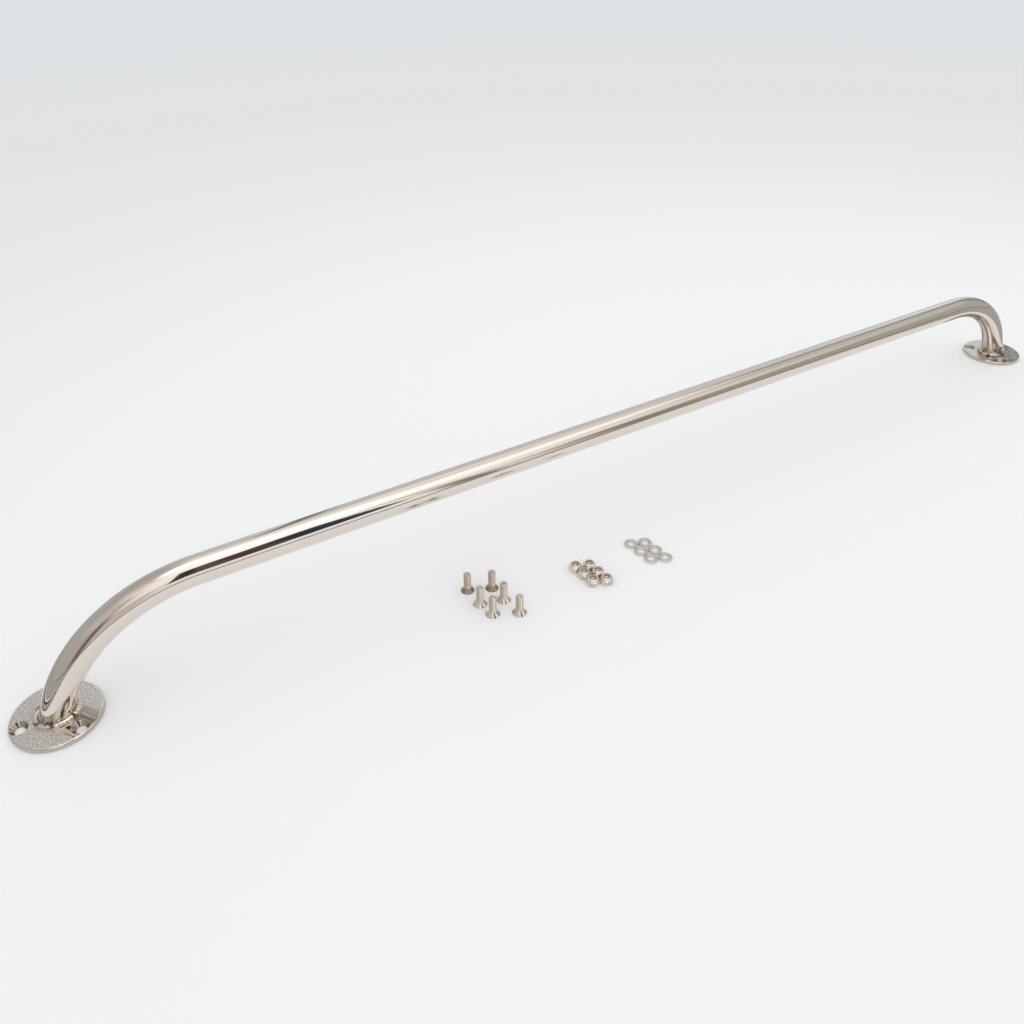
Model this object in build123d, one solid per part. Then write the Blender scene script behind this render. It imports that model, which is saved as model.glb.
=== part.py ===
from build123d import *
import os
from math import acos, atan2, cos, degrees, hypot, pi, radians, sin, tan

# Welded stainless grab rail for a boat, with the loose machine screws, washers and
# lock nuts that come with it.  A bent tube stands on two round countersunk flanges
# and is joined to each by a rippled weld bead.
#
# Frame, in millimetres: the deck is z = 0 with +Z up, +X runs along the rail, and
# the origin is midway between the two flanges.

# --- rail tube ---
FOOT_SPACING = 1056.0     # between the flange centres
RAIL_HEIGHT = 83.5        # tube centreline above the deck
TUBE_D = 22.0
TUBE_WALL = 1.5
BEND_R = 123.0            # of the tube's centreline
LEG_STRAIGHT = 5.5        # straight leg between the flange and the bend

# --- flanges ---
FLANGE_D = 62.0
FLANGE_T = 3.5
FLANGE_EDGE_R = 1.3       # polished round on the upper rim
BOLT_PCD = 48.5
BOLT_COUNT = 3
BOLT_HOLE_D = 7.0
CSK_D = 12.6              # mouth of the countersink
CSK_ANGLE = 90.0          # included angle, shared by the screw heads

# --- weld beads ---
RIPPLE_R = 2.2            # of each round drop of weld metal
RIPPLE_PITCH = 3.2        # from one drop to the next along the joint
BEAD_OFFSET = 1.3         # of the drops' centres, out from the tube's skin
BEAD_LIFT = 0.5           # of the drops' centres, above the flange
HEEL_FILL = 0.9           # more radius in the sharp corner under the leaning tube
HEEL_OFFSET = 1.6         # and more offset there

# --- countersunk machine screws, standing on their heads ---
THREAD_D = 6.0
SCREW_L = 18.0
HEAD_D = 12.4
SMALL_HEAD_D = 11.2       # two of the six have a smaller head
SMALL_HEADS = (1, 4)
HEAD_RIM = 0.35           # height of the head's straight edge
POINT_CHAMFER = 0.8
SOCKET_AF = 4.0
SOCKET_DEPTH = 2.4

# --- lock nuts, collar up ---
NUT_AF = 10.0
NUT_H = 6.0
NUT_HEX_H = 4.4
NUT_BORE_D = 5.0          # crest of the thread
NUT_CORNER_ANGLE = 30.0   # of the chamfers that take the hexagon's corners off
COLLAR_D = 9.6
COLLAR_R = 1.3            # round on the collar's shoulder
COLLAR_LIP = 0.45         # lip that is rolled in over the nylon ring
INSERT_D = 7.4
INSERT_BORE_D = 5.6
INSERT_H = 1.3
INSERT_FIT = 0.05         # radial gap round the ring

# --- washers ---
WASHER_D = 12.0
WASHER_BORE_D = 6.4
WASHER_T = 1.6
WASHER_EDGE = 0.25

# --- how the loose pieces lie: each kind in two slanting columns of three ---
ROWS = 3
COLUMNS = 2
ROW_HEADING = -84.5       # degrees from +X, from one piece to the next in a column
COLUMN_HEADING = -23.0    # from one column to the next
SCREWS_FROM = (-221.1, -36.6)
SCREW_GAPS = (5.6, 7.5)   # between the heads, down a column and across
SCREW_DRIFT = ((0, 0), (-1.0, -1.4), (0.1, 1.3), (0, -0.2), (-0.7, 0.6), (0.8, -0.4))
NUTS_FROM = (-130.9, -61.5)
NUT_GAPS = (1.0, 1.7)     # added to the nuts' width across flats
NUT_TURNS = (62.0, 10.0, 13.0, 50.0, 45.0, 58.0)
WASHERS_FROM = (-70.9, -60.4)
WASHER_GAPS = (0.4, 0.4)

# --- worked out from the sizes above ---
TUBE_R = TUBE_D / 2
RISE = RAIL_HEIGHT - FLANGE_T
TURN = acos((BEND_R - RISE) / hypot(BEND_R, LEG_STRAIGHT)) - atan2(LEG_STRAIGHT, BEND_R)
FOOT_X = FOOT_SPACING / 2
FOOT_A = TUBE_R / sin(TURN)     # half the tube's footprint, along the rail
FOOT_B = TUBE_R                 # and across it
CSK_SLOPE = tan(radians(CSK_ANGLE / 2))
NUT_CORNER_D = NUT_AF / cos(pi / 6)


def rail_path():
    """Centreline: two leaning legs and a level run, joined by bends of BEND_R."""
    tail = TUBE_D / tan(TURN)   # runs on below the flange's face, to be trimmed there
    out = FOOT_X + tail * cos(TURN)
    low = FLANGE_T - tail * sin(TURN)
    corner = FOOT_X - RISE / tan(TURN)
    return FilletPolyline(
        (-out, 0, low),
        (-corner, 0, RAIL_HEIGHT),
        (corner, 0, RAIL_HEIGHT),
        (out, 0, low),
        radius=BEND_R,
    )


def swept(radius):
    """A round bar along the rail's path, cut level with the flanges' upper faces."""
    path = rail_path()
    start = Plane(origin=path @ 0, z_dir=path % 0)
    bar = sweep(start * Circle(radius), path=path)
    return split(bar, bisect_by=Plane.XY.offset(FLANGE_T), keep=Keep.TOP)


def rail_tube():
    return swept(TUBE_R) - swept(TUBE_R - TUBE_WALL)


def countersunk_hole():
    """Clearance hole with its countersink, cut down from the flange's upper face."""
    depth = (CSK_D - BOLT_HOLE_D) / 2 / CSK_SLOPE
    over = FLANGE_EDGE_R
    hole = Pos(0, 0, FLANGE_T / 2) * Cylinder(BOLT_HOLE_D / 2, 2 * FLANGE_T)
    cone = Pos(0, 0, FLANGE_T - depth) * Cone(
        BOLT_HOLE_D / 2,
        CSK_D / 2 + over * CSK_SLOPE,
        depth + over,
        align=(Align.CENTER, Align.CENTER, Align.MIN),
    )
    return hole + cone


def flange(side):
    """Round plate with one of its holes on the far side from the rail's middle."""
    plate = Cylinder(FLANGE_D / 2, FLANGE_T, align=(Align.CENTER, Align.CENTER, Align.MIN))
    rim = plate.edges().filter_by(GeomType.CIRCLE).sort_by(Axis.Z)[-1]
    plate = fillet(rim, FLANGE_EDGE_R)
    first = 0.0 if side > 0 else 180.0
    for k in range(BOLT_COUNT):
        place = Rot(0, 0, first + 360.0 * k / BOLT_COUNT) * Pos(BOLT_PCD / 2, 0, 0)
        plate -= place * countersunk_hole()
    return Pos(side * FOOT_X, 0, 0) * plate


def ripples():
    """Places and radii of the drops round the tube's oval footprint, larger at the heel."""
    a = FOOT_A + BEAD_OFFSET + HEEL_OFFSET / 2
    b = FOOT_B + BEAD_OFFSET
    length = pi * (3 * (a + b) - ((3 * a + b) * (a + 3 * b)) ** 0.5)
    count = round(length / RIPPLE_PITCH)
    for k in range(count):
        angle = 2 * pi * k / count
        heel = ((1 + cos(angle)) / 2) ** 2
        x = (FOOT_A + BEAD_OFFSET + heel * HEEL_OFFSET) * cos(angle)
        yield Pos(x, b * sin(angle), BEAD_LIFT), RIPPLE_R + heel * HEEL_FILL


def weld_bead():
    """Overlapping drops of weld metal round a tube that leans towards +X."""
    drops = [place * Sphere(radius) for place, radius in ripples()]
    bead = drops[0].fuse(*drops[1:])
    leg = Rot(0, 90 - degrees(TURN), 0) * Cylinder(TUBE_R, 2 * TUBE_D)
    return split(bead - leg, bisect_by=Plane.XY, keep=Keep.TOP)


def screw(head_d):
    """Countersunk socket screw, with its flat head down."""
    cone_top = HEAD_RIM + (head_d - THREAD_D) / 2 / CSK_SLOPE
    outline = Polyline(
        (0, 0),
        (head_d / 2, 0),
        (head_d / 2, HEAD_RIM),
        (THREAD_D / 2, cone_top),
        (THREAD_D / 2, SCREW_L - POINT_CHAMFER),
        (THREAD_D / 2 - POINT_CHAMFER, SCREW_L),
        (0, SCREW_L),
        close=True,
    )
    body = revolve(Plane.XZ * make_face(outline), Axis.Z)
    hexagon = RegularPolygon(SOCKET_AF / 2, 6, major_radius=False)
    return body - extrude(hexagon, SOCKET_DEPTH)


def nut_outline():
    """Half section of the nut's outside: the hexagon is chamfered down to the collar's size."""
    corner_r = NUT_CORNER_D / 2
    chamfer = (corner_r - COLLAR_D / 2) * tan(radians(NUT_CORNER_ANGLE))
    edge = (
        Polyline(
            (0, 0),
            (COLLAR_D / 2, 0),
            (corner_r, chamfer),
            (corner_r, NUT_HEX_H - chamfer),
            (COLLAR_D / 2, NUT_HEX_H),
            (COLLAR_D / 2, NUT_H - COLLAR_R),
        )
        + CenterArc((COLLAR_D / 2 - COLLAR_R, NUT_H - COLLAR_R), COLLAR_R, 0, 90)
        + Polyline((COLLAR_D / 2 - COLLAR_R, NUT_H), (0, NUT_H), (0, 0))
    )
    return make_face(edge)


def nut():
    """Lock nut: the thread's bore, and a pocket for the nylon ring under the lip."""
    solid = revolve(Plane.XZ * nut_outline(), Axis.Z)
    solid &= extrude(RegularPolygon(NUT_AF / 2, 6, major_radius=False), NUT_H)
    seat = NUT_H - COLLAR_LIP - INSERT_H
    low = (Align.CENTER, Align.CENTER, Align.MIN)
    solid -= Cylinder(NUT_BORE_D / 2, NUT_H, align=low)
    solid -= Pos(0, 0, seat) * Cylinder(INSERT_D / 2 + INSERT_FIT, INSERT_H, align=low)
    solid -= Pos(0, 0, seat) * Cylinder(INSERT_D / 2 - COLLAR_LIP, NUT_H, align=low)
    return solid


def nut_insert():
    """Nylon ring that grips the screw's thread, seated at the foot of its pocket."""
    seat = NUT_H - COLLAR_LIP - INSERT_H
    low = (Align.CENTER, Align.CENTER, Align.MIN)
    ring = Cylinder(INSERT_D / 2, INSERT_H, align=low)
    ring -= Cylinder(INSERT_BORE_D / 2, INSERT_H, align=low)
    return Pos(0, 0, seat) * ring


def washer():
    """Flat washer with its stamped edges eased."""
    low = (Align.CENTER, Align.CENTER, Align.MIN)
    disc = Cylinder(WASHER_D / 2, WASHER_T, align=low)
    disc = chamfer(disc.edges().filter_by(GeomType.CIRCLE), WASHER_EDGE)
    return disc - Cylinder(WASHER_BORE_D / 2, WASHER_T, align=low)


def cluster(first, width, gaps):
    """Places of a kind's pieces: rows down each slanting column, then the next column."""
    row = Vector(width + gaps[0], 0, 0).rotate(Axis.Z, ROW_HEADING)
    column = Vector(width + gaps[1], 0, 0).rotate(Axis.Z, COLUMN_HEADING)
    for c in range(COLUMNS):
        for r in range(ROWS):
            yield Pos(Vector(*first) + row * r + column * c)


def rail_parts():
    """The tube, and a flange and a bead at each foot; the right bead mirrors the left."""
    bead = weld_bead()
    return {
        "rail_tube": rail_tube(),
        "left_flange": flange(-1),
        "right_flange": flange(1),
        "left_weld": Pos(-FOOT_X, 0, FLANGE_T) * bead,
        "right_weld": Pos(FOOT_X, 0, FLANGE_T) * mirror(bead, Plane.YZ),
    }


def fastener_parts():
    parts = {}
    for k, place in enumerate(cluster(SCREWS_FROM, HEAD_D, SCREW_GAPS), 1):
        head_d = SMALL_HEAD_D if k in SMALL_HEADS else HEAD_D
        drift = Pos(*SCREW_DRIFT[(k - 1) % len(SCREW_DRIFT)])
        parts[f"screw_{k}"] = place * drift * screw(head_d)
    for k, place in enumerate(cluster(NUTS_FROM, NUT_AF, NUT_GAPS), 1):
        turned = place * Rot(0, 0, NUT_TURNS[(k - 1) % len(NUT_TURNS)])
        parts[f"nut_{k}"] = turned * nut()
        parts[f"nut_insert_{k}"] = turned * nut_insert()
    for k, place in enumerate(cluster(WASHERS_FROM, WASHER_D, WASHER_GAPS), 1):
        parts[f"washer_{k}"] = place * washer()
    return parts


os.makedirs("parts", exist_ok=True)
for node, shape in {**rail_parts(), **fastener_parts()}.items():
    shape.label = node
    export_step(shape, f"parts/{node}.step")
print(f"bend {degrees(TURN):.2f} deg, leg leans {90 - degrees(TURN):.2f} deg")
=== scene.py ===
# Looks for a welded stainless grab rail and its loose fixings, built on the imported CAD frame.
# Lengths are metres, +Z is up, the deck is z = 0 and the rail runs along X.

import bmesh
import bpy
import numpy as np
from mathutils import Matrix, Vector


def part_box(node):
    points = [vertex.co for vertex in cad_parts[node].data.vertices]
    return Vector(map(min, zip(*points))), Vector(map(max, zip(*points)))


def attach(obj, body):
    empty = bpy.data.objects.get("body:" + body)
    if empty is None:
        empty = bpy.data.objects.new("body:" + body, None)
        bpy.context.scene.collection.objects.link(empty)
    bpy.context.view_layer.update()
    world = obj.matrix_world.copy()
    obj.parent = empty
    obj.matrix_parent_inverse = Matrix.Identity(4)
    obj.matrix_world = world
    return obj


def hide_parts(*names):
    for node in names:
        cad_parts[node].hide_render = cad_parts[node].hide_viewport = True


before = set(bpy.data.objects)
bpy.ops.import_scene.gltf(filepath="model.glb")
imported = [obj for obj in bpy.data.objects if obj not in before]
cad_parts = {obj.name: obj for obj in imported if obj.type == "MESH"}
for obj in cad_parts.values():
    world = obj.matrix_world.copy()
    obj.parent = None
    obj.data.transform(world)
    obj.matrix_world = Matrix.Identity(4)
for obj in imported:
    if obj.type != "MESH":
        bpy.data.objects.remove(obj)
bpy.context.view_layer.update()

# ---------------------------------------------------------------------------
# Rail tube: one length of 22 mm stainless steel tube with a 1.5 mm wall, bent
# at both ends on a mandrel and cut level where each leaning leg meets its
# flange. It is polished lengthwise on belts, then buffed to a mirror.
# ---------------------------------------------------------------------------
MM = 0.001
TUBE_R = 11 * MM
TUBE_WALL = 1.5 * MM
BEND_R = 123 * MM          # of the centreline
LEG_STRAIGHT = 5.5 * MM    # straight leg between the bend and the flange
RAIL_HEIGHT = 83.5 * MM    # centreline above the deck
FLANGE_T = 3.5 * MM
FOOT_X = 528 * MM          # flange centre from the middle of the rail
RISE = RAIL_HEIGHT - FLANGE_T
TURN = np.arccos((BEND_R - RISE) / np.hypot(BEND_R, LEG_STRAIGHT)) - np.arctan2(LEG_STRAIGHT, BEND_R)
RUN_END = FOOT_X - RISE / np.tan(TURN) - BEND_R * np.tan(TURN / 2)


def piece(name, sheets, crease=32, own=None):
    """One closed mesh from grids of points, each rows x columns x 3.

    Neighbouring points of a grid make quads. Points within 2 micrometres of each
    other, at seams, at poles and where two grids touch, are merged, and the faces
    are turned outwards. Edges that turn by more than the crease angle, in degrees,
    stay sharp. Grids of own coordinates, if given, are kept as an attribute for the
    finish to use.
    """
    quads, start = [], 0
    for sheet in sheets:
        rows, columns = sheet.shape[:2]
        i = start + np.arange(rows * columns).reshape(rows, columns)
        quads.append(np.stack([i[:-1, :-1], i[1:, :-1], i[1:, 1:], i[:-1, 1:]], -1).reshape(-1, 4))
        start += rows * columns
    points = np.concatenate([sheet.reshape(-1, 3) for sheet in sheets])
    mesh = bpy.data.meshes.new(name)
    mesh.from_pydata(points.tolist(), [], np.concatenate(quads).tolist())
    if own is not None:
        kept = mesh.attributes.new("own", "FLOAT_VECTOR", "POINT")
        kept.data.foreach_set("vector", np.concatenate([grid.reshape(-1, 3) for grid in own]).ravel())
    work = bmesh.new()
    work.from_mesh(mesh)
    bmesh.ops.remove_doubles(work, verts=work.verts, dist=2e-6)
    bmesh.ops.dissolve_degenerate(work, edges=work.edges, dist=1e-7)
    bmesh.ops.recalc_face_normals(work, faces=work.faces)
    work.to_mesh(mesh)
    work.free()
    mesh.shade_smooth()
    mesh.set_sharp_from_angle(angle=np.radians(crease))
    thing = bpy.data.objects.new(name, mesh)
    bpy.context.scene.collection.objects.link(thing)
    return thing


def skin(radius, columns=128, bend_rings=65, leg_rings=6):
    """Tube surface of one radius, and the same points on the tube laid straight.

    A circle is carried along the centreline: level run, arc of the bend radius,
    straight leg. On the leg each point of the circle runs on along the leg until it
    reaches the flange's face, so that the last ring lies flat on it.
    """
    t = np.linspace(0, 2 * np.pi, columns + 1)
    bend = np.linspace(0, TURN, bend_rings)[:, None]
    down = np.linspace(0, 1, leg_rings + 1)[1:, None]
    up = np.cos(t) * radius
    bend_x = RUN_END + (BEND_R + up) * np.sin(bend)
    bend_z = RAIL_HEIGHT - BEND_R + (BEND_R + up) * np.cos(bend)
    run_on = (bend_z[-1] - FLANGE_T) / np.sin(TURN)
    leg_x = bend_x[-1] + down * run_on * np.cos(TURN)
    leg_z = bend_z[-1] - down * run_on * np.sin(TURN)
    x = np.concatenate([bend_x, leg_x])
    z = np.concatenate([bend_z, leg_z])
    s = np.concatenate([RUN_END + BEND_R * bend + 0 * up, RUN_END + BEND_R * TURN + down * run_on])
    x = np.concatenate([-x[::-1], x])
    z = np.concatenate([z[::-1], z])
    s = np.concatenate([-s[::-1], s])
    side = np.sin(t) * radius + 0 * x
    return np.stack([x, side, z], -1), np.stack([s, side, up + 0 * x], -1)


outside, outside_flat = skin(TUBE_R)
bore, bore_flat = skin(TUBE_R - TUBE_WALL)
tube_ends = [np.stack([outside[k], bore[k]]) for k in (0, -1)]
tube_ends_flat = [np.stack([outside_flat[k], bore_flat[k]]) for k in (0, -1)]
tube = piece("polished_rail_tube", [outside, bore, *tube_ends], 60,
             [outside_flat, bore_flat, *tube_ends_flat])


def linear(code):
    """sRGB hex to linear colour: a power of 2.4 above the straight foot of the curve."""
    c = np.array([int(code[i:i + 2], 16) for i in (1, 3, 5)]) / 255
    return (*np.where(c <= 0.04045, c / 12.92, ((c + 0.055) / 1.055) ** 2.4), 1.0)


def add(tree, kind, settings=None, **inputs):
    """Adds a node. Settings are its properties; inputs are values or other nodes'
    outputs by socket name with _ for a space, or in_0, in_1 for a socket's number."""
    node = tree.nodes.new(kind)
    for key, value in (settings or {}).items():
        setattr(node, key, value)
    for key, value in inputs.items():
        socket = node.inputs[int(key[3:]) if key.startswith("in_") else key.replace("_", " ")]
        if isinstance(value, bpy.types.NodeSocket):
            tree.links.new(value, socket)
        else:
            socket.default_value = value
    return node


def finish(name):
    """A new material and its tree, with only the output node in it."""
    made = bpy.data.materials.new(name)
    made.use_nodes = True
    made.node_tree.nodes.clear()
    return made, made.node_tree, made.node_tree.nodes.new("ShaderNodeOutputMaterial")


# Mirror-polished 316 stainless: a warm grey metal with sharp reflections. The belts
# leave faint lengthwise lines, drawn 0.5 mm apart and 60 mm long so that they show,
# the buffing leaves soft waves 40 mm long and 12 mm wide, and the weld's heat tints
# the tube brown to straw, in patches, up to about 12 mm above the deck.
LINE_L = 60 * MM
LINE_GAP = 0.5 * MM
WAVE_L = 40 * MM
WAVE_WIDTH = 12 * MM
HEAT_PATCH = 9 * MM
mirror_steel, tree, out = finish("mirror_polished_316_stainless")
laid = add(tree, "ShaderNodeAttribute", {"attribute_name": "own"}).outputs["Vector"]
lines_at = add(tree, "ShaderNodeMapping", in_0=laid, Scale=(1 / LINE_L, 1 / LINE_GAP, 1 / LINE_GAP))
lines = add(tree, "ShaderNodeTexNoise", Vector=lines_at.outputs[0], Scale=1.0, Detail=3.0)
waves_at = add(tree, "ShaderNodeMapping", in_0=laid, Scale=(1 / WAVE_L, 1 / WAVE_WIDTH, 1 / WAVE_WIDTH))
waves = add(tree, "ShaderNodeTexNoise", Vector=waves_at.outputs[0], Scale=1.0, Detail=1.0)
gloss = add(tree, "ShaderNodeMapRange", Value=lines.outputs["Fac"], From_Min=0.3, From_Max=0.7,
            To_Min=0.03, To_Max=0.07)
spot = add(tree, "ShaderNodeTexCoord").outputs["Object"]
height = add(tree, "ShaderNodeSeparateXYZ", Vector=spot).outputs["Z"]
patches = add(tree, "ShaderNodeTexNoise", Vector=spot, Scale=1 / HEAT_PATCH, Detail=2.0).outputs["Fac"]
lowered = add(tree, "ShaderNodeMath", {"operation": "MULTIPLY_ADD"}, in_0=patches, in_1=-HEAT_PATCH,
              in_2=height)
cooler = add(tree, "ShaderNodeMapRange", Value=lowered.outputs[0], From_Min=-1 * MM, From_Max=8 * MM)
tint = add(tree, "ShaderNodeValToRGB", Fac=cooler.outputs[0])
stops = tint.color_ramp.elements
stops[0].position, stops[0].color = 0.0, linear("#AB9C8E")
stops[1].position, stops[1].color = 1.0, linear("#E4DCD4")
stops.new(0.35).color = linear("#D5CABA")
stops.new(0.7).color = linear("#DFD6CB")
relief = add(tree, "ShaderNodeBump", Strength=0.12, Distance=0.02 * MM, Height=lines.outputs["Fac"])
relief = add(tree, "ShaderNodeBump", Strength=0.25, Distance=0.1 * MM, Height=waves.outputs["Fac"],
             Normal=relief.outputs[0])
steel = add(tree, "ShaderNodeBsdfPrincipled", Metallic=1.0, Base_Color=tint.outputs["Color"],
            Roughness=gloss.outputs[0], Normal=relief.outputs[0])
tree.links.new(steel.outputs[0], out.inputs["Surface"])
tube.data.materials.append(mirror_steel)
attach(tube, "rail")
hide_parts("rail_tube")

# ---------------------------------------------------------------------------
# Flanges: round feet of cast stainless steel, 62 mm across and 3.5 mm thick,
# with three countersunk holes for M6 screws. The top keeps the grain of the
# casting mould; the rim and the countersinks are machined and polished.
# ---------------------------------------------------------------------------
FLANGE_R = 31 * MM
RIM_R = 1.3 * MM           # round on the upper rim
HOLE_FROM_MIDDLE = 24.25 * MM
HOLE_R = 3.5 * MM
MOUTH_R = 6.3 * MM         # of the countersink
HOLES = 3


def top_height(r):
    """Height of the plate at a radius: level, then a quarter circle down the rim."""
    over = np.clip(r - (FLANGE_R - RIM_R), 0, RIM_R)
    return FLANGE_T - RIM_R + np.sqrt(RIM_R**2 - over**2)


def flange_third(rim_rays=145, rim_rows=10, line_rows=16, cone_rows=5, top_rows=41, under_rows=7,
                 edge_rows=4):
    """Grids for the third of the plate round the hole on +X.

    Rays leave the hole's centre and run out to the rim, or to the lines at 60 degrees
    to each side where the next third begins. Along each ray: up the 45 degree
    countersink until it meets the top, over the top and the round rim, down the side,
    back under the plate and up the hole's wall.
    """
    corner = np.arctan2(FLANGE_R * np.sin(np.pi / 3), FLANGE_R * np.cos(np.pi / 3) - HOLE_FROM_MIDDLE)
    on_round = FLANGE_R - RIM_R * (1 - np.cos(np.linspace(0, np.pi / 2, rim_rows)))
    line = np.concatenate([on_round, np.linspace(FLANGE_R - RIM_R, 0, line_rows)[1:]])
    beside = np.arctan2(line * np.sin(np.pi / 3), line * np.cos(np.pi / 3) - HOLE_FROM_MIDDLE)[1:]
    a = np.concatenate([-beside[::-1], np.linspace(-corner, corner, rim_rays), beside])
    to_rim = -HOLE_FROM_MIDDLE * np.cos(a) + np.sqrt(FLANGE_R**2 - (HOLE_FROM_MIDDLE * np.sin(a)) ** 2)
    past_line = np.maximum(np.abs(a), corner) - np.pi / 3
    to_line = HOLE_FROM_MIDDLE * np.sin(np.pi / 3) / np.sin(past_line)
    reach = np.where(np.abs(a) <= corner + 1e-9, to_rim, to_line)
    cone_foot = FLANGE_T - (MOUTH_R - HOLE_R)
    near, far = np.full_like(a, HOLE_R), np.full_like(a, MOUTH_R)
    for _ in range(40):   # halves the gap round the place where the cone meets the top
        middle = (near + far) / 2
        r = np.hypot(HOLE_FROM_MIDDLE + middle * np.cos(a), middle * np.sin(a))
        above = cone_foot + middle - HOLE_R > top_height(r)
        near, far = np.where(above, near, middle), np.where(above, middle, far)
    mouth = np.minimum(far, reach)

    def ring(distance, z):
        """Points on every ray, at a distance from the hole's centre and a height."""
        x = HOLE_FROM_MIDDLE + distance * np.cos(a)
        return np.stack([x, distance * np.sin(a), z + 0 * x], -1)

    v = np.linspace(0, 1, cone_rows)[:, None]
    cone = ring(HOLE_R + v * (mouth - HOLE_R), cone_foot + v * (mouth - HOLE_R))
    v = np.sin(np.linspace(0, np.pi / 2, top_rows))[:, None]
    top = ring(mouth + v * (reach - mouth), 0)
    top[..., 2] = top_height(np.hypot(top[..., 0], top[..., 1]))
    v = np.linspace(1, 0, under_rows)[:, None]
    under = ring(HOLE_R + v * (reach - HOLE_R), 0)
    wall = np.stack([ring(near * 0 + HOLE_R, 0), ring(near * 0 + HOLE_R, cone_foot)])
    edge = top[-1:, len(beside):-len(beside)] * np.ones((edge_rows, 1, 1))
    edge[..., 2] = np.linspace(FLANGE_T - RIM_R, 0, edge_rows)[:, None]
    top[0, :, 2] = cone[-1, :, 2]
    return [cone, top, edge, under, wall]


def turn_by(angle):
    """Matrix that turns rows of points by an angle about the upright axis."""
    c, s = np.cos(angle), np.sin(angle)
    return np.array([[c, s, 0], [-s, c, 0], [0, 0, 1]])


# Cast 316 stainless: bright metal with a pebbled grain 1.15 mm across on the flat top, grey in its pits, and
# straw in the middle from the weld's heat. The grain stops at the polished rim, the countersinks and the
# underside, which lie lower, and where a belt dressed it smooth: a strip from the leg to the rim on the left
# foot, and the outer front half of the right one. That front half of the right foot is also painted dark
# brown-grey, unevenly: a painted reflection. The rim is painted darker too, a painted reflection, and the
# holes darker still, painted shade.
GRAIN = 1.15 * MM
GRAIN_LEFT = 0.04          # share of it left by the belt
STRAW_TO = 17 * MM         # from the middle of the foot, less up to 8 mm in patches
STRAW_PATCH = 6 * MM
# Settings of the nodes that multiply two shares and that mix two colours.
TIMES = {"operation": "MULTIPLY"}
COLOURS = {"data_type": "RGBA"}


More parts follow.
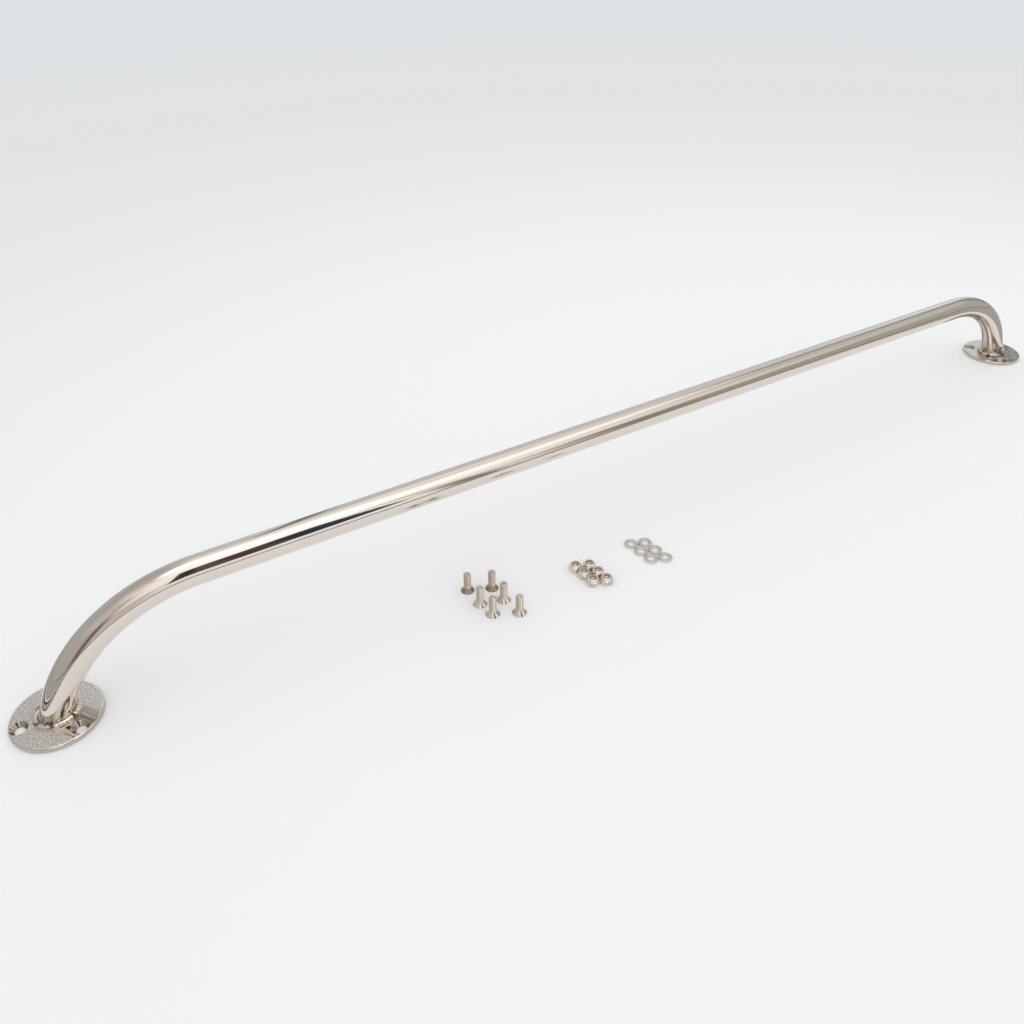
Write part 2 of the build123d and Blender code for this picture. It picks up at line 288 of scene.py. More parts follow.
def cast_steel(centre_x, zone_heading, zone_width, depth, pit_colour, dressed_and_reflection_colour):
    """Finish of one foot: tones laid over one another, each by a share from 0 to 1. The strip's share, of a
    belt-dressed strip on the left foot and of a painted dark reflection on the right, is from how far a point
    lies along its heading and beside it."""
    made, tree, out = finish("cast_316_stainless_" + ("left" if centre_x < 0 else "right"))
    spot = add(tree, "ShaderNodeTexCoord").outputs["Object"]
    height = add(tree, "ShaderNodeSeparateXYZ", Vector=spot).outputs["Z"]

    # 1 on the level top, 0 from 0.12 mm below it.
    flat = add(tree, "ShaderNodeMapRange", Value=height, From_Min=FLANGE_T - 0.12 * MM,
               From_Max=FLANGE_T - 0.02 * MM).outputs[0]
    middle = add(tree, "ShaderNodeMapping", in_0=spot, Location=(-centre_x, 0, 0)).outputs[0]
    away = add(tree, "ShaderNodeVectorMath", {"operation": "LENGTH"}, in_0=middle).outputs["Value"]

    # The strip, dressed on the left foot and a painted dark reflection on the right, starts at the middle and
    # runs on its heading.
    zone_angle = np.radians(zone_heading)
    along = add(tree, "ShaderNodeVectorMath", {"operation": "DOT_PRODUCT"}, in_0=middle,
                in_1=(np.cos(zone_angle), np.sin(zone_angle), 0)).outputs["Value"]
    across = add(tree, "ShaderNodeVectorMath", {"operation": "DOT_PRODUCT"}, in_0=middle,
                 in_1=(-np.sin(zone_angle), np.cos(zone_angle), 0)).outputs["Value"]
    across = add(tree, "ShaderNodeMath", {"operation": "ABSOLUTE"}, in_0=across).outputs[0]
    in_strip = add(tree, "ShaderNodeMapRange", Value=across, From_Min=zone_width / 2 + 0.5 * MM,
                   From_Max=zone_width / 2 - 0.5 * MM).outputs[0]
    ahead = add(tree, "ShaderNodeMapRange", Value=along, From_Min=0.0, From_Max=2 * MM).outputs[0]
    in_strip = add(tree, "ShaderNodeMath", TIMES, in_0=in_strip, in_1=ahead).outputs[0]
    kept = add(tree, "ShaderNodeMapRange", Value=in_strip, To_Min=1.0, To_Max=GRAIN_LEFT).outputs[0]
    kept = add(tree, "ShaderNodeMath", TIMES, in_0=kept, in_1=flat).outputs[0]
    pebbles = add(tree, "ShaderNodeTexNoise", Vector=spot, Scale=1 / GRAIN, Detail=2.0).outputs["Fac"]
    grain = add(tree, "ShaderNodeMath", TIMES, in_0=pebbles, in_1=kept).outputs[0]
    rough = add(tree, "ShaderNodeMapRange", Value=kept, To_Min=0.09, To_Max=0.24).outputs[0]

    # Steel away from the straw middle, the pits of the grain, and the strip: a belt-dressed strip on the left
    # foot, and on the right a painted dark reflection, mottled unevenly.
    patches = add(tree, "ShaderNodeTexNoise", Vector=spot, Scale=1 / STRAW_PATCH).outputs["Fac"]
    spread = add(tree, "ShaderNodeMath", {"operation": "MULTIPLY_ADD"}, in_0=patches, in_1=8 * MM,
                 in_2=away)
    cooler = add(tree, "ShaderNodeMapRange", Value=spread.outputs[0], From_Min=STRAW_TO,
                 From_Max=STRAW_TO + 6 * MM).outputs[0]
    pits = add(tree, "ShaderNodeMapRange", Value=pebbles, From_Min=0.60, From_Max=0.40).outputs[0]
    pits = add(tree, "ShaderNodeMath", TIMES, in_0=pits, in_1=kept).outputs[0]
    dressed_and_reflection = add(tree, "ShaderNodeMath", TIMES, in_0=in_strip, in_1=flat).outputs[0]
    uneven = add(tree, "ShaderNodeMapRange", Value=patches, From_Min=0.35, From_Max=0.65,
                 To_Min=0.7, To_Max=1.0).outputs[0]
    dressed_and_reflection = add(tree, "ShaderNodeMath", TIMES, in_0=dressed_and_reflection, in_1=uneven).outputs[0]

    # What lies below the top is a hole's wall, or the rim near the plate's edge. Both are painted darker:
    # painted shade in the holes, and a painted darker reflection on the rim.
    sunk = add(tree, "ShaderNodeMapRange", Value=height, From_Min=FLANGE_T - 0.08 * MM,
               From_Max=FLANGE_T - 0.3 * MM).outputs[0]
    inside = add(tree, "ShaderNodeMapRange", Value=away, From_Min=FLANGE_R - 0.4 * MM,
                 From_Max=FLANGE_R - 1.0 * MM).outputs[0]
    hole_painted_shade = add(tree, "ShaderNodeMath", TIMES, in_0=sunk, in_1=inside).outputs[0]
    rim_painted_reflection = add(tree, "ShaderNodeMath", {"operation": "SUBTRACT"}, in_0=sunk, in_1=hole_painted_shade).outputs[0]
    tone = add(tree, "ShaderNodeMix", COLOURS, Factor=cooler, in_6=linear("#DFD8CF"),
               in_7=linear("#F8F6F2"))
    layers = (pits, pit_colour), (dressed_and_reflection, dressed_and_reflection_colour), (hole_painted_shade, "#AFA298"), (rim_painted_reflection, "#CDC5BC")
    for share, code in layers:
        tone = add(tree, "ShaderNodeMix", COLOURS, Factor=share, in_6=tone.outputs["Result"],
                   in_7=linear(code))
    relief = add(tree, "ShaderNodeBump", Strength=1.0, Distance=depth, Height=grain)
    steel = add(tree, "ShaderNodeBsdfPrincipled", Metallic=1.0, Base_Color=tone.outputs["Result"],
                Roughness=rough, Normal=relief.outputs[0])
    tree.links.new(steel.outputs[0], out.inputs["Surface"])
    return made


# Side of the rail, then the strip's heading in degrees and its width, how deep the grain is, and the colours
# of the pits and of the strip: the dressed part on the left foot, and on the right a painted dark reflection.
third = flange_third()
for name, side, *looks in (
    ("left", -1, -51, 24 * MM, 0.25 * MM, "#CDC9C3", "#C6BAB0"),
    ("right", 1, -60, 64 * MM, 0.06 * MM, "#B4AEA4", "#7C7267"),
):
    sheets = []
    for k in range(HOLES):
        turn = 2 * np.pi * k / HOLES + (0 if side > 0 else np.pi)
        sheets += [sheet @ turn_by(turn) + (side * FOOT_X, 0, 0) for sheet in third]
    foot = piece(name + "_cast_flange", sheets)
    foot.data.materials.append(cast_steel(side * FOOT_X, *looks))
    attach(foot, "rail")
    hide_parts(name + "_flange")

# ---------------------------------------------------------------------------
# Weld beads: a TIG fillet round each leg, laid down as overlapping drops of
# stainless filler about 3.2 mm apart. It is fatter in the sharp corner under
# the leaning tube, and left as welded, bright with patches of straw and brown.
# ---------------------------------------------------------------------------
DROP_R = 2.2 * MM
DROP_PITCH = 3.2 * MM
OUT_FROM_SKIN = 1.3 * MM
ABOVE_FLANGE = 0.5 * MM
HEEL_FILL = 0.9 * MM       # added to the drops' radius under the leaning tube
HEEL_OUT = 1.6 * MM        # and how much further out they lie there
DROP_LEAN = 0.35           # of a drop
TOE_RIPPLE = 0.2           # how marked the drops are away from the heel
OVAL_A, OVAL_B = TUBE_R / np.sin(TURN), TUBE_R


def bead(side, columns_a_drop=12, rows=33):
    """A ring of drops round the tube's oval footprint.

    The ring's middle line is the oval, set out from the skin, and further at the
    heel. Its radius falls from the drop's own, at each drop's middle, to where two
    spheres of that radius cross, less so away from the heel, where the torch moved
    evenly. The drops lean back along the joint on both sides of the crown.
    """
    a, b = OVAL_A + OUT_FROM_SKIN + HEEL_OUT / 2, OVAL_B + OUT_FROM_SKIN
    # Ramanujan's length of an oval from its two half widths.
    length = np.pi * (3 * (a + b) - np.sqrt((3 * a + b) * (a + 3 * b)))
    drops = round(length / DROP_PITCH)
    turn = np.linspace(0, 2 * np.pi, drops * columns_a_drop + 1)[None, :]
    lap = np.linspace(0, 2 * np.pi, rows)[:, None]
    heel = ((1 + np.cos(turn)) / 2) ** 2
    radius = DROP_R + heel * HEEL_FILL
    place = drops * turn / (2 * np.pi) + DROP_LEAN * np.cos(lap - np.pi / 4)
    off = DROP_PITCH * (place % 1 - 0.5) * (TOE_RIPPLE + (1 - TOE_RIPPLE) * heel)
    drop = np.sqrt(radius**2 - off**2)
    x = (OVAL_A + OUT_FROM_SKIN + heel * HEEL_OUT) * np.cos(turn)
    y = b * np.sin(turn)
    outward = np.arctan2(y / OVAL_B, x / OVAL_A)
    x = x + drop * np.cos(lap) * np.cos(outward)
    y = y + drop * np.cos(lap) * np.sin(outward)
    z = FLANGE_T + ABOVE_FLANGE + drop * np.sin(lap)
    return np.stack([-side * x + side * FOOT_X, y, z], -1)


# TIG weld metal: bright stainless with a heat tint from straw to dark brown that
# comes in patches about 5 mm long, and a skin slightly rougher than the tube's, with
# a fine scale drawn 0.6 mm across.
TINT_PATCH = 5 * MM
SCALE_WIDTH = 0.6 * MM
weld_steel, tree, out = finish("tig_weld_stainless")
spot = add(tree, "ShaderNodeTexCoord").outputs["Object"]
patches = add(tree, "ShaderNodeTexNoise", Vector=spot, Scale=1 / TINT_PATCH, Detail=3.0).outputs["Fac"]
tint = add(tree, "ShaderNodeValToRGB", Fac=patches)
stops = tint.color_ramp.elements
stops[0].position, stops[0].color = 0.36, linear("#50443D")
stops[1].position, stops[1].color = 0.52, linear("#E6DFDB")
stops.new(0.45).color = linear("#CBBFB6")
scale_skin = add(tree, "ShaderNodeTexNoise", Vector=spot, Scale=1 / SCALE_WIDTH).outputs["Fac"]
relief = add(tree, "ShaderNodeBump", Strength=0.2, Distance=0.05 * MM, Height=scale_skin)
steel = add(tree, "ShaderNodeBsdfPrincipled", Metallic=1.0, Base_Color=tint.outputs["Color"],
            Roughness=0.2, Normal=relief.outputs[0])
tree.links.new(steel.outputs[0], out.inputs["Surface"])

for name, side in (("left", -1), ("right", 1)):
    weld = piece(name + "_weld_bead", [bead(side)], 50)
    weld.data.materials.append(weld_steel)
    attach(weld, "rail")
    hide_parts(name + "_weld")

# ---------------------------------------------------------------------------
# Machine screws: six countersunk M6 screws, 18 mm long, of cold-headed A4
# stainless with rolled threads to the head and a hexagon socket. They stand on
# their heads. Two of them have a smaller head.
# ---------------------------------------------------------------------------
THREAD_R = 3.0 * MM
THREAD_PITCH = 1.0 * MM
THREAD_DEPTH = 0.58 * MM
SCREW_L = 18 * MM
HEAD_RS = (5.6, 6.2, 6.2, 5.6, 6.2, 6.2)   # mm, one for each screw
HEAD_RIM = 0.35 * MM
POINT = 0.8 * MM
SOCKET_R = 2.0 * MM        # to its flats
SOCKET_DEPTH = 2.4 * MM
SCREW_SETS = (0.1, 0.45, 0.8, 0.3, 0.65, 0.0)   # where each thread starts, in turns


def round_about(columns):
    """Angles once round a piece, the first and the last the same."""
    return np.linspace(0, 2 * np.pi, columns + 1)


def turned(t, rows):
    """Surface round an upright axis from a list of (radius, height) rows, each of
    which is a number or an array that goes round with the angle t."""
    r = np.stack([radius + 0 * t for radius, _ in rows])
    z = np.stack([height + 0 * t for _, height in rows])
    return np.stack([r * np.cos(t), r * np.sin(t), z], -1)


def hexagon(t, flat):
    """Distance from the middle to a hexagon's side: the flat's over the cosine of the
    angle from the middle of that side. One corner lies on +X."""
    return flat / np.cos(t % (np.pi / 3) - np.pi / 6)


def thread(t, z, start):
    """How deep a right-hand thread is cut at each angle and height, 0 to 1: a
    triangle wave of the height in pitches less the turn, of which a ninth is cut off
    flat at the crest and at the root."""
    wave = np.abs(2 * ((z / THREAD_PITCH - t / (2 * np.pi) - start) % 1) - 1)
    return np.clip(1.3 * wave - 0.15, 0, 1)


def screw(head_r, start, columns=60, rows_a_pitch=12):
    """Socket, flat head and 45 degree cone, then the thread, which fades in at the
    cone and out at the point's chamfer."""
    t = round_about(columns)
    cone_top = HEAD_RIM + head_r - THREAD_R
    z = np.arange(cone_top, SCREW_L + 1e-9, THREAD_PITCH / rows_a_pitch)[:, None]
    z[-1] = SCREW_L
    fade = np.clip((z - cone_top) / THREAD_PITCH, 0, 1)
    shank = THREAD_R - THREAD_DEPTH * fade * thread(t, z, start)
    shank = np.minimum(shank, THREAD_R - POINT + (SCREW_L - z))
    socket = hexagon(t, SOCKET_R)
    ease = 0.12 * MM
    rows = [(0, SOCKET_DEPTH), (socket, SOCKET_DEPTH), (socket, 0), (head_r - ease, 0), (head_r, ease),
            (head_r, HEAD_RIM - ease / 2), (head_r - ease / 2, HEAD_RIM + ease / 2)]
    up_cone = np.linspace(0.1, 0.98, 6) * (head_r - THREAD_R)
    rows += [(head_r - d, HEAD_RIM + d) for d in up_cone]
    rows += [(shank[k], z[k]) for k in range(len(z))]
    rows += [(0, SCREW_L)]
    return turned(t, rows)


# Bright A4 stainless, cold headed and barrel polished: a clear shine with fine scuffs from tumbling, drawn
# 0.8 mm apart. The threads are rolled. Above the head the threads get a tone of their own: on the bright
# screws the heads are painted lighter than the threads, a painted highlight, and on the two small-headed
# screws the heads are painted much darker than the threads, painted shade.
SCUFF_GAP = 0.8 * MM
HEADS_END = 3.2 * MM


def fastener_steel(name, colour, roughness, upper_colour=None):
    """Steel of one colour, or of two, which change over where the heads end. The
    scuffs spread its roughness from 0.7 to 1.4 of the one given."""
    made, tree, out = finish(name)
    spot = add(tree, "ShaderNodeTexCoord").outputs["Object"]
    height = add(tree, "ShaderNodeSeparateXYZ", Vector=spot).outputs["Z"]
    upper = add(tree, "ShaderNodeMapRange", Value=height, From_Min=HEADS_END, From_Max=HEADS_END + 0.7 * MM)
    tone = add(tree, "ShaderNodeMix", COLOURS, Factor=upper.outputs[0], in_6=linear(colour),
               in_7=linear(upper_colour or colour))
    scuffs = add(tree, "ShaderNodeTexNoise", Vector=spot, Scale=1 / SCUFF_GAP, Detail=3.0).outputs["Fac"]
    rough = add(tree, "ShaderNodeMapRange", Value=scuffs, From_Min=0.3, From_Max=0.7,
                To_Min=roughness * 0.7, To_Max=roughness * 1.4)
    relief = add(tree, "ShaderNodeBump", Strength=0.15, Distance=0.04 * MM, Height=scuffs)
    steel = add(tree, "ShaderNodeBsdfPrincipled", Metallic=1.0, Base_Color=tone.outputs["Result"],
                Roughness=rough.outputs[0], Normal=relief.outputs[0])
    tree.links.new(steel.outputs[0], out.inputs["Surface"])
    return made


bright_screw = fastener_steel("barrel_polished_a4_screw", "#E8E1D8", 0.11, "#DDD4C8")
dull_screw_painted_dark_head = fastener_steel("plain_a4_screw_painted_dark_head", "#A79A88", 0.2, "#D2C7B8")


def standing(node):
    """Where a CAD node stands: the middle of its box, at deck level."""
    low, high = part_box(node)
    return np.array([(low.x + high.x) / 2, (low.y + high.y) / 2, low.z])


for k, (head_r, start) in enumerate(zip(HEAD_RS, SCREW_SETS), 1):
    node = f"screw_{k}"
    made = piece(f"countersunk_screw_{k}", [screw(head_r * MM, start) + standing(node)], 35)
    made.data.materials.append(dull_screw_painted_dark_head if head_r < max(HEAD_RS) else bright_screw)
    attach(made, node + "_piece")
    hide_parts(node)

# ---------------------------------------------------------------------------
# Lock nuts: six M6 nuts of cold-formed A4 stainless, 10 mm across flats and
# 6 mm high. A round collar on top is rolled in over the nylon ring that grips
# the screw.
# ---------------------------------------------------------------------------
NUT_FLAT = 5.0 * MM        # half the width across flats
NUT_H = 6.0 * MM
HEX_H = 4.4 * MM
CORNER_SLOPE = np.tan(np.pi / 6)
COLLAR_R = 4.8 * MM
COLLAR_ROUND = 1.3 * MM
LIP = 0.45 * MM
RING_POCKET_R = 3.75 * MM
RING_GAP = 0.05 * MM       # between the nylon ring and its pocket
RING_R = RING_POCKET_R - RING_GAP
RING_BORE_R = 2.8 * MM
RING_H = 1.3 * MM
RING_SEAT = NUT_H - LIP - RING_H
BORE_R = 2.5 * MM
BORE_EASE = 0.7            # both as shares of the screws' thread depth
NUT_THREAD = 0.85
NUT_TURNS = (62.0, 10.0, 13.0, 50.0, 45.0, 58.0)   # degrees, one for each nut
# The next table is painted light and shade on the facets: how light each facet is painted, 0 to 1.
FACET_PAINTED_LIGHT = (0.9, 0.2, 0.7, 0.0, 1.0, 0.4)      # how bright the die left each facet


def nut(turn, columns=120, taper_rows=15, arc_rows=9, thread_rows=52, run_out=0.4 * MM):
    """Hexagon with its corners taken off by a 30 degree cone at both ends, down to the
    collar's size, then the round collar with its lip, ring pocket and threaded bore.
    Its own coordinates are its facet's painted light, 0 to 1, and the radius and height."""
    t = round_about(columns)
    six = hexagon(t, NUT_FLAT)
    corner = NUT_FLAT / np.cos(np.pi / 6)
    drop = np.linspace(0, 1, taper_rows) * (corner - COLLAR_R)
    low = [(np.minimum(six, COLLAR_R + d), CORNER_SLOPE * d) for d in drop]
    high = [(radius, HEX_H - height) for radius, height in low[::-1]]
    arc = np.linspace(0, np.pi / 2, arc_rows)
    shoulder = [(COLLAR_R - COLLAR_ROUND * (1 - np.cos(q)), NUT_H - COLLAR_ROUND * (1 - np.sin(q)))
                for q in arc]
    mouth = RING_R - LIP
    inside = [(mouth, NUT_H), (mouth, NUT_H - LIP), (RING_POCKET_R, NUT_H - LIP),
              (RING_POCKET_R, RING_SEAT), (BORE_R + THREAD_DEPTH * BORE_EASE, RING_SEAT)]
    z = np.linspace(RING_SEAT, 0, thread_rows)[:, None]
    fade = np.clip(np.minimum(z, RING_SEAT - z) / run_out, 0, 1)
    threaded = NUT_THREAD * (1 - thread(t, z, start=0.2))
    cut = BORE_R + THREAD_DEPTH * (BORE_EASE * (1 - fade) + threaded * fade)
    rows = low + high + shoulder + inside
    rows += [(cut[k], z[k]) for k in range(len(z))] + [low[0]]
    sheet = turned(t, rows)
    facet_light = np.array(FACET_PAINTED_LIGHT)[(t / (np.pi / 3)).astype(int) % 6] + 0 * sheet[..., 0]
    own = np.stack([facet_light, np.hypot(sheet[..., 0], sheet[..., 1]), sheet[..., 2]], -1)
    return sheet @ turn_by(np.radians(turn)), own


# Bright A4 stainless as on the screws, with light and shade painted into its colour: the six facets are
# painted lighter and darker, the corners and the rolled collar are painted lighter as highlights, and the
# bore is painted a darker brown as shade.
CORNER_HIGHLIGHT_R = 5.45 * MM
DARK_R = 3.4 * MM
bright_nut, tree, out = finish("rolled_a4_nut")
own = add(tree, "ShaderNodeAttribute", {"attribute_name": "own"}).outputs["Vector"]
facet_light, radius, height = add(tree, "ShaderNodeSeparateXYZ", Vector=own).outputs
tone = add(tree, "ShaderNodeMix", COLOURS, Factor=facet_light, in_6=linear("#D2C8BE"), in_7=linear("#EAE2D9"))
# Painted highlights on the corners and on the collar, then painted shade in the bore.
for value, start, end, code in (
    (radius, CORNER_HIGHLIGHT_R, CORNER_HIGHLIGHT_R + 0.2 * MM, "#EFE8E0"),
    (height, HEX_H - 0.2 * MM, HEX_H, "#EDE6DE"),
    (radius, DARK_R, DARK_R - 0.3 * MM, "#D6C7B5"),
):
    share = add(tree, "ShaderNodeMapRange", Value=value, From_Min=start, From_Max=end).outputs[0]
    tone = add(tree, "ShaderNodeMix", COLOURS, Factor=share, in_6=tone.outputs["Result"], in_7=linear(code))
spot = add(tree, "ShaderNodeTexCoord").outputs["Object"]
scuffs = add(tree, "ShaderNodeTexNoise", Vector=spot, Scale=1 / SCUFF_GAP, Detail=3.0).outputs["Fac"]
rough = add(tree, "ShaderNodeMapRange", Value=scuffs, From_Min=0.3, From_Max=0.7, To_Min=0.08, To_Max=0.16)
relief = add(tree, "ShaderNodeBump", Strength=0.15, Distance=0.04 * MM, Height=scuffs)
steel = add(tree, "ShaderNodeBsdfPrincipled", Metallic=1.0, Base_Color=tone.outputs["Result"],
            Roughness=rough.outputs[0], Normal=relief.outputs[0])
tree.links.new(steel.outputs[0], out.inputs["Surface"])

# Natural nylon 6: milky and slightly warm, faintly clouded, with a soft gloss.
CLOUD_WIDTH = 1.5 * MM
nylon, tree, out = finish("natural_nylon")
spot = add(tree, "ShaderNodeTexCoord").outputs["Object"]
cloud = add(tree, "ShaderNodeTexNoise", Vector=spot, Scale=1 / CLOUD_WIDTH).outputs["Fac"]
tone = add(tree, "ShaderNodeMix", COLOURS, Factor=cloud, in_6=linear("#A3917F"), in_7=linear("#BDB0A0"))
plastic = add(tree, "ShaderNodeBsdfPrincipled", Base_Color=tone.outputs["Result"], Roughness=0.35, IOR=1.53)
tree.links.new(plastic.outputs[0], out.inputs["Surface"])


def nylon_ring(columns=72, ease=0.2 * MM):
    """Plain ring seated at the foot of the pocket, its upper inner edge eased."""
    top = RING_SEAT + RING_H
    rows = [(RING_BORE_R, RING_SEAT), (RING_R, RING_SEAT), (RING_R, top), (RING_BORE_R + ease, top),
            (RING_BORE_R + ease / 3, top - ease / 3), (RING_BORE_R, top - ease), (RING_BORE_R, RING_SEAT)]
    return turned(round_about(columns), rows)


for k, turn in enumerate(NUT_TURNS, 1):
    node = f"nut_{k}"
    sheet, own = nut(turn)
    made = piece(f"lock_nut_{k}", [sheet + standing(node)], 35, [own])
    made.data.materials.append(bright_nut)
    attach(made, node + "_piece")
    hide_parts(node)
    ring = piece(f"nylon_ring_{k}", [nylon_ring() + standing(node)])
    ring.data.materials.append(nylon)
    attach(ring, node + "_piece")
    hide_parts(f"nut_insert_{k}")

# ---------------------------------------------------------------------------
# Washers: six flat M6 washers, 12 mm across and 1.6 mm thick, stamped from A4
# stainless strip. The punch rolls the upper edges over and leaves the lower
# ones almost square.
# ---------------------------------------------------------------------------
WASHER_R = 6.0 * MM
WASHER_BORE_R = 3.2 * MM
WASHER_T = 1.6 * MM
WASHERS = 6


def washer(columns=96, roll=0.35 * MM, crown=0.1 * MM, ease=0.1 * MM):
    """Ring whose upper face is crowned by the punch: a parabola across the ring that
    drops by the crown at both edges, with a quarter circle rolled over outside it.
    Below, only the outer edge is eased."""
    arc = np.linspace(0, np.pi / 2, 6)
    shoulder = WASHER_T - crown
    middle = (WASHER_R + WASHER_BORE_R) / 2
    half_width = (WASHER_R - WASHER_BORE_R) / 2 - roll
    rows = [(WASHER_BORE_R, 0), (WASHER_R - ease, 0), (WASHER_R, ease)]
    rows += [(WASHER_R - roll * (1 - np.cos(q)), shoulder - roll * (1 - np.sin(q))) for q in arc]
    rows += [(middle + half_width * a, WASHER_T - crown * a**2) for a in np.linspace(1, -1, 11)[1:-1]]
    rows += [(WASHER_BORE_R + roll * (1 - np.sin(q)), shoulder - roll * (1 - np.cos(q))) for q in arc]
    return turned(round_about(columns), rows + [(WASHER_BORE_R, 0)])


# Stamped A4 stainless: duller than the screws, tumbled to a grey satin.
grey_washer = fastener_steel("tumbled_a4_washer", "#D8D5D0", 0.2)
for k in range(1, WASHERS + 1):
    node = f"washer_{k}"
    made = piece(f"flat_washer_{k}", [washer() + standing(node)])
    made.data.materials.append(grey_washer)
    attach(made, node + "_piece")
    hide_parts(node)

# ---------------------------------------------------------------------------
# Floor: a plain white sweep of matt paper, its colour painted slightly grey and cool away from a point in
# front of the rail: a painted falloff of light. The steel also sees where the sheet ends, outside the
# camera's view: on the left a grey strip and a white one between dark gaps, on the right a grey floor, and
# behind the camera one wide gap.
HALF_FLOOR = 15.0
# The floor is painted palest round this point and greyer over the length below: a painted pool of light, with
# no lamp there.
PAINTED_LIGHT_X = 0.15              # the floor is palest below the lamp
PAINTED_LIGHT_Y = -0.30
SHADE_L = 4.0              # and turns grey over this length
LEFT_END = -0.567          # the sheet ends here, but nearer the camera
LEFT_FRONT = -0.580        # its end slants outwards, from this place at y = 0
LEFT_SLANT = 0.6
RIGHT_END = 0.572
GAP_Y = -1.05              # middle of the gap behind the camera
GAP_HALF = 0.45
# Millimetres past the sheet's left end, then how light it is there.
PAST_LEFT_END = (
    (0, 0.90), (1, 0.14), (6, 0.14), (10, 0.38), (30, 0.42), (36, 0.06), (50, 0.06), (55, 0.85), (70, 0.85),
    (76, 0.30), (99, 0.42),
)
floor = piece("floor", [HALF_FLOOR * np.array([[[-1, -1, 0], [1, -1, 0]], [[-1, 1, 0], [1, 1, 0]]])])

# Matt white paper: no shine, so only its own paleness, its painted falloff of light and the soft shadows
# show.
paper, tree, out = finish("white_paper_sweep")
spot = add(tree, "ShaderNodeTexCoord").outputs["Object"]
from_painted_light = add(tree, "ShaderNodeMapping", in_0=spot, Location=(-PAINTED_LIGHT_X, -PAINTED_LIGHT_Y, 0)).outputs[0]
away = add(tree, "ShaderNodeVectorMath", {"operation": "LENGTH"}, in_0=from_painted_light).outputs["Value"]
share = add(tree, "ShaderNodeMapRange", Value=away, From_Min=0.0, From_Max=SHADE_L)
shade = add(tree, "ShaderNodeValToRGB", Fac=share.outputs[0])
stops = shade.color_ramp.elements
stops[0].position, stops[0].color = 0.13, (0.905, 0.908, 0.914, 1)
stops[1].position, stops[1].color = 1.0, (0.73, 0.76, 0.78, 1)
stops.new(0.21).color = (0.880, 0.884, 0.892, 1)
stops.new(0.31).color = (0.815, 0.82, 0.825, 1)
stops.new(0.5).color = (0.755, 0.765, 0.772, 1)
x, y, _ = add(tree, "ShaderNodeSeparateXYZ", Vector=spot).outputs
end_x = add(tree, "ShaderNodeMath", {"operation": "MULTIPLY_ADD"}, in_0=y, in_1=LEFT_SLANT,
            in_2=LEFT_FRONT).outputs[0]
end_x = add(tree, "ShaderNodeMath", {"operation": "MINIMUM"}, in_0=end_x, in_1=LEFT_END).outputs[0]
past = add(tree, "ShaderNodeMath", {"operation": "SUBTRACT"}, in_0=end_x, in_1=x).outputs[0]
share = add(tree, "ShaderNodeMapRange", Value=past, From_Min=0.0, From_Max=100 * MM)
beside = add(tree, "ShaderNodeValToRGB", Fac=share.outputs[0])
stops = beside.color_ramp.elements
for k, (millimetres, light) in enumerate(PAST_LEFT_END):
    stop = stops[k] if k < 2 else stops.new(1.0)
    stop.position, stop.color = millimetres / 100, (light, light, light, 1)
on_left = add(tree, "ShaderNodeMath", {"operation": "GREATER_THAN"}, in_0=past, in_1=0.0).outputs[0]
on_right = add(tree, "ShaderNodeMath", {"operation": "GREATER_THAN"}, in_0=x, in_1=RIGHT_END).outputs[0]
in_gap = add(tree, "ShaderNodeMath", {"operation": "COMPARE"}, in_0=y, in_1=GAP_Y, in_2=GAP_HALF).outputs[0]
seen_by_steel = add(tree, "ShaderNodeLightPath").outputs["Is Glossy Ray"]
colour = shade.outputs["Color"]
for place, beyond in (
    (on_left, beside.outputs["Color"]),
    (on_right, (0.43, 0.44, 0.41, 1)),
    (in_gap, (0.16, 0.14, 0.13, 1)),
):
    share = add(tree, "ShaderNodeMath", TIMES, in_0=place, in_1=seen_by_steel).outputs[0]
    colour = add(tree, "ShaderNodeMix", COLOURS, Factor=share, in_6=colour, in_7=beyond).outputs["Result"]
matt = add(tree, "ShaderNodeBsdfDiffuse", Color=colour)
tree.links.new(matt.outputs[0], out.inputs["Surface"])
floor.data.materials.append(paper)

# ---------------------------------------------------------------------------
# Light: a pale room as the polished steel sees it. Its walls change with the
# heading, in three rings, with a soft lamp at the top and a dark stand on the
# near side. Everything matt is lit by a plain white dome instead.
# ---------------------------------------------------------------------------
# Heading in degrees from +X towards +Y, then the light from there as red, green, blue.
LOW_WALLS = (
    (-180, 0.42, 0.42, 0.41), (-150, 0.42, 0.41, 0.39), (-144, 0.24, 0.22, 0.20), (-138, 0.11, 0.10, 0.09),
    (-133, 0.20, 0.18, 0.17), (-127, 0.54, 0.48, 0.43), (-108, 0.58, 0.52, 0.46), (-97, 0.82, 0.80, 0.78),
    (-70, 0.88, 0.88, 0.88), (-68, 0.22, 0.20, 0.19), (-66, 0.24, 0.22, 0.21), (-64, 0.80, 0.77, 0.74),
    (-60, 0.55, 0.50, 0.46), (-55, 0.26, 0.22, 0.19), (-47, 0.38, 0.34, 0.30), (-38, 0.40, 0.37, 0.33),
    (-25, 0.42, 0.43, 0.40), (0, 0.42, 0.43, 0.41), (9, 0.26, 0.27, 0.27), (15, 0.20, 0.21, 0.21),
    (22, 0.52, 0.53, 0.54), (30, 0.80, 0.82, 0.83), (42, 0.60, 0.61, 0.61), (76.8, 0.56, 0.56, 0.55),
    (77.6, 0.05, 0.05, 0.05), (78.6, 0.05, 0.05, 0.05), (79.4, 0.60, 0.60, 0.60), (100, 0.46, 0.46, 0.46),
    (150, 0.42, 0.42, 0.41), (180, 0.42, 0.42, 0.41),
)
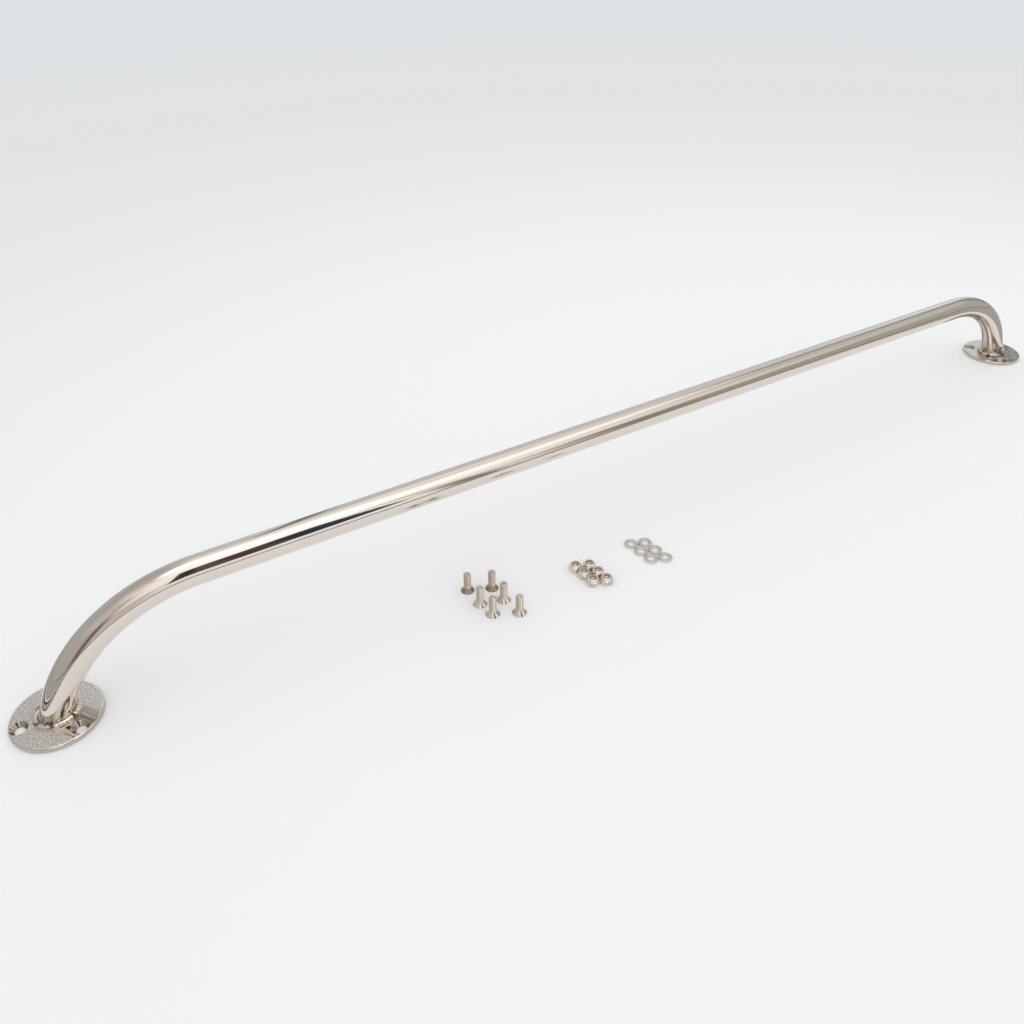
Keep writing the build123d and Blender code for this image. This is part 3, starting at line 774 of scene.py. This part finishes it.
HIGH_WALLS = (
    (-180, 0.52, 0.50, 0.48), (-150, 0.56, 0.53, 0.50), (-141, 0.40, 0.37, 0.34), (-132, 0.72, 0.66, 0.61),
    (-115, 0.98, 0.91, 0.85), (-98, 1.00, 0.95, 0.90), (-70, 1.08, 1.06, 1.03), (-66, 0.55, 0.54, 0.53),
    (-62, 0.98, 0.95, 0.92), (-40, 0.80, 0.78, 0.74), (-22, 0.55, 0.56, 0.53), (0, 0.52, 0.53, 0.51),
    (10, 0.44, 0.45, 0.44), (12.5, 0.12, 0.12, 0.12), (15, 0.12, 0.12, 0.12), (17.5, 0.52, 0.52, 0.52),
    (28, 0.64, 0.65, 0.65), (50, 0.62, 0.62, 0.61), (76.8, 0.56, 0.56, 0.55), (77.6, 0.05, 0.05, 0.05),
    (78.6, 0.05, 0.05, 0.05), (79.4, 0.62, 0.62, 0.62), (92, 0.50, 0.50, 0.49), (105, 0.40, 0.39, 0.38),
    (150, 0.41, 0.40, 0.39), (180, 0.52, 0.50, 0.48),
)
UPPER = (
    (-180, 0.66, 0.63, 0.60), (-150, 0.80, 0.76, 0.72), (-125, 1.00, 0.95, 0.90), (-95, 1.12, 1.08, 1.04),
    (-50, 1.25, 1.23, 1.20), (-10, 1.10, 1.09, 1.06), (15, 0.72, 0.72, 0.70), (45, 0.85, 0.85, 0.83),
    (70, 0.85, 0.85, 0.84), (84, 0.80, 0.80, 0.79), (96, 0.60, 0.59, 0.58), (108, 0.46, 0.45, 0.44),
    (150, 0.48, 0.47, 0.45), (180, 0.66, 0.63, 0.60),
)
STAND = (
    (-98, 0.10, 0.085, 0.08), (-92, 0.035, 0.03, 0.03), (-88, 0.045, 0.04, 0.045), (-84.5, 0.13, 0.10, 0.085),
    (-82.5, 0.035, 0.03, 0.035), (-80, 0.11, 0.075, 0.07), (-78.5, 0.02, 0.03, 0.05), (-71, 0.04, 0.06, 0.10),
)
LAMP = (1.7, 1.7, 1.7, 1.0)
ROOM_STRENGTH = 1.12
BACKDROP = (0.72, 0.74, 0.76, 1)

world = bpy.data.worlds.new("studio")
bpy.context.scene.world = world
world.use_nodes = True
tree = world.node_tree
tree.nodes.clear()
toward = add(tree, "ShaderNodeTexCoord").outputs["Generated"]
x, y, z = add(tree, "ShaderNodeSeparateXYZ", Vector=toward).outputs
heading = add(tree, "ShaderNodeMath", {"operation": "ARCTAN2"}, in_0=y, in_1=x).outputs[0]
height = add(tree, "ShaderNodeMath", {"operation": "ARCSINE"}, in_0=z).outputs[0]
bands = []
for table in (LOW_WALLS, HIGH_WALLS, UPPER, STAND):
    share = add(tree, "ShaderNodeMapRange", Value=heading, From_Min=-np.pi, From_Max=np.pi)
    band = add(tree, "ShaderNodeValToRGB", Fac=share.outputs[0])
    stops = band.color_ramp.elements
    for k, (degrees, *light) in enumerate(table):
        stop = stops[k] if k < 2 else stops.new(1.0)
        stop.position, stop.color = (degrees + 180) / 360, (*light, 1.0)
    bands.append(band.outputs["Color"])
low_walls, high_walls, upper, stand = bands


def within(*edges):
    """Product of soft edges, each of a value that rises from 0 to 1 between two angles."""
    product = 1.0
    for value, start, end in edges:
        edge = add(tree, "ShaderNodeMapRange", Value=value, From_Min=np.radians(start),
                   From_Max=np.radians(end)).outputs[0]
        product = add(tree, "ShaderNodeMath", TIMES, in_0=product, in_1=edge).outputs[0]
    return product


# Each ring takes over from the one below it, and the stand hides a piece of the wall.
colour = low_walls
for share, light in (
    (within((height, 22, 32)), high_walls),
    (within((height, 46, 54)), upper),
    (within((height, 70, 80)), LAMP),
    (within((heading, -98.6, -97.4), (heading, -70.4, -71.6), (height, 14.5, 17), (height, 56, 50)),
     stand),
):
    colour = add(tree, "ShaderNodeMix", COLOURS, Factor=share, in_6=colour, in_7=light).outputs["Result"]

# The steel sees the room, matt surfaces the dome, and the camera the backdrop.
room = add(tree, "ShaderNodeBackground", Color=colour, Strength=ROOM_STRENGTH)
dome = add(tree, "ShaderNodeBackground", Color=(1, 1, 1, 1), Strength=1.0)
backdrop = add(tree, "ShaderNodeBackground", Color=BACKDROP, Strength=1.0)
ray = add(tree, "ShaderNodeLightPath").outputs
lit = add(tree, "ShaderNodeMixShader", in_0=ray["Is Glossy Ray"], in_1=dome.outputs[0], in_2=room.outputs[0])
pick = add(tree, "ShaderNodeMixShader", in_0=ray["Is Camera Ray"], in_1=lit.outputs[0],
           in_2=backdrop.outputs[0])
add(tree, "ShaderNodeOutputWorld", Surface=pick.outputs[0])

# ---------------------------------------------------------------------------
# Camera: above the left foot, looking down along the rail.
# ---------------------------------------------------------------------------
lens = bpy.data.cameras.new("camera")
lens.sensor_width = 36.0
lens.lens = 29.54
lens.clip_start = 0.01
lens.clip_end = 100.0
camera = bpy.data.objects.new("camera", lens)
bpy.context.scene.collection.objects.link(camera)

# The camera's own axes, and where it stands.
right = (0.85268, -0.52243, -0.00329)
up = (0.31831, 0.51452, 0.79621)
ahead = (0.41427, 0.67996, -0.60501)
pose = Matrix((right, up, [-c for c in ahead])).transposed().to_4x4()
pose.translation = (-0.45531, -0.49130, 0.46798)
camera.matrix_world = pose
bpy.context.scene.camera = camera
bpy.context.scene.view_settings.view_transform = "Standard"
